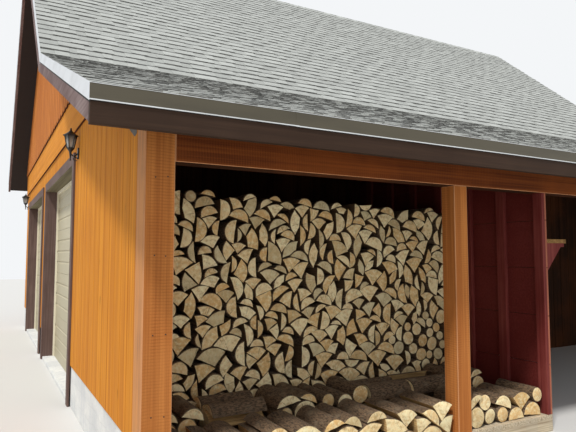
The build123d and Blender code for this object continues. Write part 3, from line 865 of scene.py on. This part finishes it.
def shingleSlope(node, ends, seed):
    # courses of laminated shingles up a slope, each a strip with tabs on it
    maker = random.Random(seed)
    line = np.stack(topLine(node, 1), axis=1)
    low, high = sorted((line[0], line[-1]), key=lambda end: end[1])
    along = Vector((0, *(high - low)))
    length = along.length
    along.normalize()
    up = Vector((0, -along.z, along.y)) * (1 if along.y > 0 else -1)
    origin = Vector((0, *low))
    exposure = shingles["exposure"]
    slope = Build("roofShingle", "shingleEdge", "shadowBand")

    def turn(distance, height, x):
        point = origin + along * distance + up * height
        return (x, point.y, point.z)

    def layer(start, stop, foot, lift, head, x0, x1, tone):
        # a wedge of shingle with its cut edge at start and its dark band near the next course
        band = start + exposure - maker.uniform(*shingles["bandDepths"])
        outline = [(start, foot), (stop, 0.0), (stop, head)]
        sides = [0, 0]
        if band < stop - 0.002:
            outline.append((band, lift + (head - lift) * (band - start) / (stop - start)))
            sides.append(2)
        outline.append((start, lift))
        slope.prism(outline, turn, x0, x1, 0, tone, [*sides, 0, 1])

    reach = shingles["reach"][node]
    base = shingles["base"]
    left, right = ends
    for course in range(math.ceil((length + reach) / exposure)):
        start = course * exposure - reach
        stop = min(start + exposure + shingles["lap"], length)
        tone = maker.uniform(*shingles["baseTone"])
        layer(start, stop, 0.0, base, shingles["baseHead"], left, right, tone)
        x = left
        raised = maker.random() < 0.5
        while x < right - shingles["leastTab"]:
            share = shingles["tabShare"] if raised else 1 - shingles["tabShare"]
            edge = min(x + maker.uniform(*shingles["tabWidths"]) * share, right)
            if raised:
                lift = base + shingles["tab"][node] * maker.uniform(*shingles["tabUneven"])
                foot = start - maker.uniform(*shingles["tabDrop"])
                tone = maker.uniform(*shingles["tabTone"])
                sunk = base * shingles["tabSunk"]
                layer(foot, stop, sunk, lift, shingles["tabHead"], x, edge, tone)
            raised = not raised
            x = edge
    slope.piece(node + "_shingles")


rakeLow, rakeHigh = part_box("drip_edges")
rakeLap = 0.004  # the shingles end this far inside the rake's metal
roofEnds = (rakeLow.x + rakeLap, rakeHigh.x - rakeLap)
for number, node in enumerate(("lower_roof", "upper_roof_near", "upper_roof_far")):
    shingleSlope(node, roofEnds, 20 + number)

caps = {
    "length": 0.15,
    "lap": 1.5,
    "footLift": 0.009,
    "headLift": 0.0027,
    "crestDrop": 0.010,
    "under": (0.002, 0.004),  # thickness below the CAD edge at the eave side and the crest
    "tones": (0.5, 0.9),
}


def ridgeCaps():
    low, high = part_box("ridge_cap")
    middle = (low.y + high.y) / 2
    reach = (high.y - low.y) / 2
    crest = high.z - caps["crestDrop"]
    sideUnder, crestUnder = caps["under"]
    ridge = Build("roofShingle")
    maker = random.Random(31)
    count = int((high.x - low.x) / caps["length"])
    step = (high.x - low.x) / count
    for number in range(count):
        start = low.x + number * step
        stop = min(start + step * caps["lap"], high.x)
        ring = []
        for x, lift in ((start, caps["footLift"]), (stop, caps["headLift"])):
            ring += [
                (x, middle - reach, low.z + lift), (x, middle, crest + lift),
                (x, middle + reach, low.z + lift), (x, middle + reach, low.z - sideUnder),
                (x, middle, crest - crestUnder), (x, middle - reach, low.z - sideUnder),
            ]
        ridge.rings(ring, 6, 0, maker.uniform(*caps["tones"]))
    ridge.piece("ridge_caps", "ridge_cap")


ridgeCaps()
print("shingles done")


# Metal edges of the roof: pale along the rakes, and along the eaves with faces painted olive as
# shade and a pale lip

metals = {
    "sheetJoints": (-4.332, -1.284, 1.764, 4.812),
    "jointLap": 0.02,
    "sheetLap": 0.0012,  # how far every other sheet stands proud
    "sheetDrop": 0.0015,
    "faceHeight": 0.087,
    "faceThickness": 0.002,
    "lipReach": 0.0078,
    "lipHeight": 0.0055,
    "topLip": (0.0015, 0.002, 0.001),  # how far proud, and its reach under and over the top
    # a dark strip under the eave lip and under the rake metal paints the shadow there
    "shadowLineHeight": 0.0045,
    "shadowLineReach": 0.0012,
    "bedding": 0.001,  # how deep the sheets go into the board
    "rakeHeight": 0.085,
    "rakeShadowLineHeight": 0.009,
    "rakeThickness": 0.004,
    "bend": 0.05,  # a change of slope that starts a new sheet along the rake
}


def eaveMetal(sheets, sign, board, top):
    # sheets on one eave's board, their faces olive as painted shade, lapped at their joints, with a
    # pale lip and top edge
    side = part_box("drip_edges")[1].x
    ends = [-side, *metals["sheetJoints"], side]
    out, under, over = metals["topLip"]
    for number, (start, stop) in enumerate(zip(ends, ends[1:])):
        proud = metals["sheetLap"] * (number % 2)
        face = board + sign * (metals["faceThickness"] + proud)
        reach = board + sign * (metals["lipReach"] + proud)
        foot = top - metals["faceHeight"] - metals["sheetDrop"] * (number % 2)
        lip = foot + metals["lipHeight"]
        stop = min(stop + metals["jointLap"], side)
        for outer, z0, z1, finish in (
            (face, lip, top - under, 0),
            (reach, foot, lip, 1),
            (face + sign * out, top - under, top + over, 1),
            # the near-black strip under the lip is painted shadow
            (board + sign * metals["shadowLineReach"], foot - metals["shadowLineHeight"], foot, 2),
        ):
            y0, y1 = sorted((board - sign * metals["bedding"], outer))
            sheets.block((start, y0, z0), (stop, y1, z1), finish)


def metalEdges():
    sheets = Build("oliveDrip", "paleLip", "shadowGap", "paleDrip")
    line = np.stack(topLine("left_rake_boards", 1), axis=1)
    eaveMetal(sheets, -1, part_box("eave_fascia")[0].y, topLine("lower_roof", 1)[1][0])
    eaveMetal(sheets, 1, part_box("back_fascia")[1].y, line[-1, 1])
    slopes = np.diff(line[:, 1]) / np.diff(line[:, 0])
    corners = [line[0], *line[1:-1][abs(np.diff(slopes)) > metals["bend"]], line[-1]]
    side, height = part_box("drip_edges")[1].x, metals["rakeHeight"]
    inner = side - metals["rakeThickness"]
    # the rake's near-black strip below the metal is painted shadow
    gap = side - metals["shadowLineReach"]
    rows = ((side, 0.0, height, 3), (gap, height, height + metals["rakeShadowLineHeight"], 2))
    for start, stop in zip(corners, corners[1:]):
        slant = math.hypot(*(stop - start)) / abs(stop[0] - start[0])
        for sign in (-1, 1):
            for outer, above, below, finish in rows:
                drops = ((start, above), (stop, above), (stop, below), (start, below))
                outline = [(y, z - drop * slant) for (y, z), drop in drops]
                sheets.prism(outline, acrossX, sign * inner, sign * outer, finish)
    sheets.piece("drip_edge_sheets", "drip_edges")


metalEdges()
print("metal edges done")


# Firewood

logs = {
    "shrink": 0.992,
    "arc": 0.98,  # the true arc's radius against that of the CAD's corners
    "even": 0.01,  # sides of the arc differ in length by less than this share
    "arcTurn": 0.62,  # and the cosine of the turn between them is more than this
    "wobble": 0.0108,
    "splitStep": 0.03,
    "splitJitter": 0.0035,
    "barkThickness": (0.003, 0.007),
    "splitEase": 0.0018,
    "bevel": 0.003,
    "tilt": 0.10,  # of the front sawn end
    "looseSegments": 7,
    "looseRoughness": 0.03,
    "frontRow": 0.6,  # logs of the front row are shorter than this, the mass behind is longer
    "rearInset": (0.004, 0.004, 0.004),
    "rearTopInset": (0.0, 0.004, 0.03),
}


def logShape(points):
    # axis of a log in the CAD, its two ends, and the ring of its section in (across, z)
    axis = next(axis for axis in (1, 0) if len(np.unique(points[:, axis].round(3))) == 2)
    start, stop = np.unique(points[:, axis].round(3)).tolist()
    front = points[points[:, axis] < start + 2e-3][:, [1 - axis, 2]]
    centre = front.mean(axis=0)
    order = np.argsort(np.arctan2(front[:, 1] - centre[1], front[:, 0] - centre[0]))
    return axis, start, stop, front[order]


def barkSides(ring):
    # sides of equal length that turn little from one to the next are the bark's arc
    sides = np.roll(ring, -1, axis=0) - ring
    after = np.roll(sides, -1, axis=0)
    length, nextLength = np.hypot(*sides.T), np.hypot(*after.T)
    cosine = (sides * after).sum(axis=1) / (length * nextLength)
    arc = (abs(length - nextLength) < logs["even"] * length) & (cosine > logs["arcTurn"])
    return arc | np.roll(arc, 1)


def circleThrough(a, b, c):
    rows = 2 * np.array([b - a, c - a])
    return np.linalg.solve(rows, np.array([b @ b - a @ a, c @ c - a @ a]))


def fineRing(ring, maker):
    # the section with a true arc, a rough split, and the pith that its rings run about
    bark = barkSides(ring)
    count = len(ring)
    first = next(side for side in range(count) if bark[side] and bark[(side + 1) % count])
    pith = circleThrough(*(ring[(first + step) % count] for step in range(3)))
    radius = np.hypot(*(ring[first] - pith))
    centre = ring.mean(axis=0)
    phases = [maker.uniform(0, math.tau) for wave in range(3)]
    points, isBark = [], []
    for side in range(count):
        run = ring[(side + 1) % count] - ring[side]
        length = np.hypot(*run)
        steps = 3 if bark[side] else max(3, int(length / logs["splitStep"]))
        inward = np.array([-run[1], run[0]]) / length
        for step in range(steps):
            point = ring[side] + run * (step / steps)
            if bark[side]:
                out = point - pith
                angle = math.atan2(out[1], out[0])
                wave = math.sin(2 * angle + phases[0]) + 0.6 * math.sin(5 * angle + phases[1])
                size = radius * (logs["arc"] + logs["wobble"] * wave)
                point = pith + out / np.hypot(*out) * size
            elif step:
                point = point + inward * maker.uniform(0, 1) * logs["splitJitter"]
            points.append(centre + (point - centre) * logs["shrink"])
            isBark.append(bark[side])
    return np.array(points), np.array(isBark), pith


def addLog(build, points, maker, segments, rough):
    axis, start, stop, ring = logShape(points)
    outer, isBark, pith = fineRing(ring, maker)
    seed, tone = maker.random(), maker.random()
    bark = maker.uniform(*logs["barkThickness"])
    centre = ring.mean(axis=0)
    slant = [maker.uniform(-1, 1) * logs["tilt"] for side in range(2)]
    tangent = np.roll(outer, -1, axis=0) - np.roll(outer, 1, axis=0)
    inward = np.stack([-tangent[:, 1], tangent[:, 0]], axis=1)
    inward /= np.hypot(*inward.T)[:, None]
    depth = np.where(isBark & np.roll(isBark, 1), bark, logs["splitEase"])
    inner = outer + inward * depth[:, None]
    middle = inner.mean(axis=0, keepdims=True)

    def put(flats, along):
        # the front end leans, and less of that is left further along
        places = along + (flats - centre) @ slant * (stop - along) / (stop - start)
        across, height = flats.T
        columns = (across, places, height) if axis == 1 else (places, across, height)
        return np.stack(columns, axis=1).tolist()

    rings = [(inner, start), (outer, start + logs["bevel"])]
    for segment in range(1, segments):
        swell = 1 + rough * maker.uniform(-1, 0.4)
        place = start + (stop - start) * segment / segments
        rings.append((centre + (outer - centre) * swell, place))
    rings += [(outer, stop - logs["bevel"]), (inner, stop)]
    shapes = (*rings, (middle, start), (middle, stop))
    points = [point for flats, along in shapes for point in put(flats, along)]
    steps = np.hypot(*(np.roll(outer, -1, axis=0) - outer).T)
    around = seed + np.concatenate([[0], np.cumsum(steps)])
    *local, hub = [(x, z, seed) for x, z in np.concatenate([inner, middle]) - pith]
    count, last = len(outer), len(rings) - 1
    front, rear = len(points) - 2, len(points) - 1
    faces, keys, grain = [], [], []
    for side in range(count):
        after = (side + 1) % count
        faces += [[front, after, side], [rear, last * count + side, last * count + after]]
        grain += [[hub, local[after], local[side]], [hub, local[side], local[after]]]
        keys += [0, 0]
        u0, u1 = around[side], around[side + 1]
        for number in range(last):
            a = number * count
            b = a + count
            faces.append([a + side, a + after, b + after, b + side])
            z0, z1 = rings[number][1], rings[number + 1][1]
            grain.append([(u0, z0, seed), (u1, z0, seed), (u1, z1, seed), (u0, z1, seed)])
            keys.append(2 if isBark[side] else 1)
    build.add(points, faces, keys, tone, grain)


def firewood():
    maker = random.Random(12)
    # the stack's split faces take the dark finish that paints the shade between logs
    stack = Build("sawnEnds", "stackedSplitShade", "roughBark")
    for points in solidsOf("log_stack"):
        if np.ptp(points[:, 1]) < logs["frontRow"]:
            addLog(stack, points, maker, 1, 0.0)
        else:
            rear = points
    stack.piece("stacked_logs", "log_stack", smooth=True)
    back = Build("roughBark")
    back.block(rear.min(axis=0) + logs["rearInset"], rear.max(axis=0) - logs["rearTopInset"])
    back.piece("rear_log_rows", bevel=0.01)
    loose = Build("sawnEnds", "splitFaces", "roughBark")
    for points in solidsOf("loose_logs"):
        addLog(loose, points, maker, logs["looseSegments"], logs["looseRoughness"])
    loose.piece("loose_log_pile", "loose_logs", smooth=True)


firewood()
print("firewood done")


# Wall lamps

lamp = {
    "sides": 6,
    "turnedSides": 12,  # of the knob and the tail
    "reach": 0.080,  # from the wall to the lamp's middle
    "foot": 0.12,  # over the lamp's lowest point
    "bodyHeight": 0.130,
    "bodyTop": 0.058,
    "bodyFoot": 0.033,
    "paneInset": 0.004,
    "paneFoot": 0.006,
    "bar": 0.0045,
    # profiles of radius and height, from the body's foot or top
    "hoop": [(0.0, 0.0), (0.004, 0.002), (0.004, 0.008), (0.0, 0.010)],
    "roof": [(0.06716, -0.008), (0.073, -0.002), (0.073, 0.005), (0.05986, 0.011),
             (0.04015, 0.024), (0.02482, 0.036), (0.01606, 0.046), (0.00876, 0.050)],
    "knob": [(0.008, 0.050), (0.012, 0.054), (0.006, 0.059), (0.011, 0.065), (0.008, 0.071),
             (0.002, 0.077)],
    "tail": [(0.004, -0.12), (0.012, -0.112), (0.005, -0.102), (0.009, -0.07), (0.013, -0.03),
             (0.033, -0.004), (0.033, 0.0)],
    "plate": (0.030, 0.058),
    "plateThickness": 0.014,
    "armRadius": 0.0065,
    "armDrop": 0.042,
    "armSag": 0.03,
    "scroll": (0.72, 0.058, 0.018),  # place along the arm, drop and radius
    "scrollRadius": 0.00455,
    "bendSteps": 12,
}


def lathe(build, middle, foot, profile, sides, wider=0.0):
    # rings of (radius, height) about an upright axis
    points = []
    for radius, height in profile:
        ring = circle(sides, radius + wider)
        points += [(middle.x + x, middle.y + y, foot + height) for x, y in ring]
    build.rings(points, sides)


def tube(build, path, radius, sides=8):
    # a round bar along a path of points
    points = []
    for number, point in enumerate(path):
        ahead = path[min(number + 1, len(path) - 1)] - path[max(number - 1, 0)]
        ahead.normalize()
        side = ahead.cross(Vector((0, 1, 0))).normalized()
        other = ahead.cross(side)
        points += [tuple(point + side * u + other * v) for u, v in circle(sides, radius)]
    build.rings(points, sides)


def carriageLamp(metal, panes, low, high):
    middle = Vector((high[0] - lamp["reach"], (low[1] + high[1]) / 2, 0))
    foot = low[2] + lamp["foot"]
    top = foot + lamp["bodyHeight"]
    sides, inset = lamp["sides"], lamp["paneInset"]
    wide, narrow = lamp["bodyTop"], lamp["bodyFoot"]
    pane = [(narrow - inset, foot + lamp["paneFoot"]), (wide - inset, top - inset)]
    lathe(panes, middle, 0, pane, sides)
    lathe(metal, middle, foot, lamp["hoop"], sides, narrow)
    lathe(metal, middle, top - inset, lamp["hoop"], sides, wide)
    for (x0, y0), (x1, y1) in zip(circle(sides, narrow), circle(sides, wide)):
        path = [middle + Vector((x0, y0, foot)), middle + Vector((x1, y1, top))]
        tube(metal, path, lamp["bar"], sides)
    lathe(metal, middle, top, lamp["roof"], sides)
    lathe(metal, middle, top, lamp["knob"], lamp["turnedSides"])
    lathe(metal, middle, foot, lamp["tail"], lamp["turnedSides"])
    arm = foot - lamp["armDrop"]
    plateX = high[0] - lamp["plateThickness"]
    reach = plateX - middle.x
    bend = []
    for share in np.linspace(0, 1, lamp["bendSteps"] + 1):
        sag = lamp["armSag"] * math.sin(math.pi * share)
        bend.append(Vector((middle.x + reach * share, middle.y, arm - sag)))
    tube(metal, bend, lamp["armRadius"])
    along, drop, radius = lamp["scroll"]
    spot = Vector((middle.x + reach * along, middle.y, arm - drop))
    ring = [spot + Vector((x, 0, z)) for x, z in circle(18, radius)[:17]]
    tube(metal, ring, lamp["scrollRadius"])
    outline = [(middle.y + y, arm + z) for y, z in circle(20, *lamp["plate"])]
    metal.prism(outline, acrossX, plateX, high[0])


def wallLamps():
    metal = Build("blackLamp")
    panes = Build("seededGlass")
    for points in solidsOf("wall_lamps"):
        carriageLamp(metal, panes, points.min(axis=0), points.max(axis=0))
    metal.piece("lamp_frames", "wall_lamps", smooth=True)
    panes.piece("lamp_panes")


wallLamps()
print("lamps done")


# Door stops, shelf and small fixings

doorStops = {
    "width": 0.045,
    "thickness": 0.022,
    "overlap": 0.025,
    "nailPitch": 0.42,
    "firstNail": 0.2,
    "nailHead": 0.004,
}


def stopMouldings():
    stops = Build("tanStop", "blackLamp")
    wide, overlap, head = (doorStops[key] for key in ("width", "overlap", "nailHead"))
    for node in ("near_garage_door", "far_garage_door"):
        low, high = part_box(node)
        y0, y1 = low.y + overlap, high.y - overlap
        top = high.z - overlap
        front = low.x - doorStops["thickness"]
        stops.block((front, y0, 0.0), (low.x, y0 + wide, top))
        stops.block((front, y1 - wide, 0.0), (low.x, y1, top))
        stops.block((front, y0 + wide, top - wide), (low.x, y1 - wide, top))
        for number in range(int(top / doorStops["nailPitch"])):
            z = doorStops["firstNail"] + number * doorStops["nailPitch"]
            for y in (y0 + wide / 2, y1 - wide / 2):
                stops.block((front - 0.001, y - head, z - head), (front, y + head, z + head), 1)
    stops.piece("door_stops")


cornerFlashing = {
    "reach": (0.21, 0.40),
    "heights": (2.25, 2.32),
    "fold": (0.05, 0.012),
    "thickness": 0.0016,
}


def flashingPiece():
    # a bent scrap of metal tucked under the eave beside the corner post
    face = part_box("left_end_wall")[0].x
    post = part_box("left_corner_post")[0]
    near, far = (post.y + reach for reach in cornerFlashing["reach"])
    foot, top = cornerFlashing["heights"]
    bend, fold = cornerFlashing["fold"]
    outline = [(near, foot), (near + bend, foot - fold), (far, top - fold), (far, top), (near, top)]
    flashing = Build("greyFlashing")
    flashing.prism(outline, acrossX, face - cornerFlashing["thickness"], face + 0.004)
    flashing.piece("corner_flashing")


nailHeads = {
    "radius": 0.0045,
    "proud": 0.0012,
    "across": (0.33, 0.74),  # shares of the post's width
    "foot": 0.135,
    "endGap": 0.1,
    "pitch": 0.457,
    "astray": (0.006, 0.008),
}


def nails():
    # two nails at each height hold the facing boards of the corner posts
    maker = random.Random(41)
    heads = Build("nailHeads")
    ring = circle(8, nailHeads["radius"])
    strayX, strayZ = nailHeads["astray"]
    for node in ("left_corner_post", "right_corner_post"):
        low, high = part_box(node)
        height = nailHeads["foot"]
        while height < high.z - nailHeads["endGap"]:
            for share in nailHeads["across"]:
                x = low.x + (high.x - low.x) * share + maker.uniform(-strayX, strayX)
                z = height + maker.uniform(-strayZ, strayZ)
                outline = [(x + u, z + v) for u, v in ring]
                heads.prism(outline, acrossY, low.y - nailHeads["proud"], low.y + 0.001)
            height += nailHeads["pitch"]
    heads.piece("post_nails")


shelfBoard = {"thickness": 0.036}


def shelfTop(work):
    # the board gets its own finish, and the bracket under it keeps the studs' red
    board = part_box("shelf")[1].z - shelfBoard["thickness"]
    parts = [*work.verts, *work.edges, *work.faces]
    bmesh.ops.bisect_plane(work, geom=parts, dist=1e-5, plane_co=(0, 0, board), plane_no=(0, 0, 1))
    for face in work.faces:
        face.material_index = int(face.calc_center_median().z > board + meshing["near"])


stopMouldings()
flashingPiece()
nails()
softened("shelf", ("barnRedStuds", "shelfBoard"), 0.002, reshape=shelfTop)
print("small pieces done")
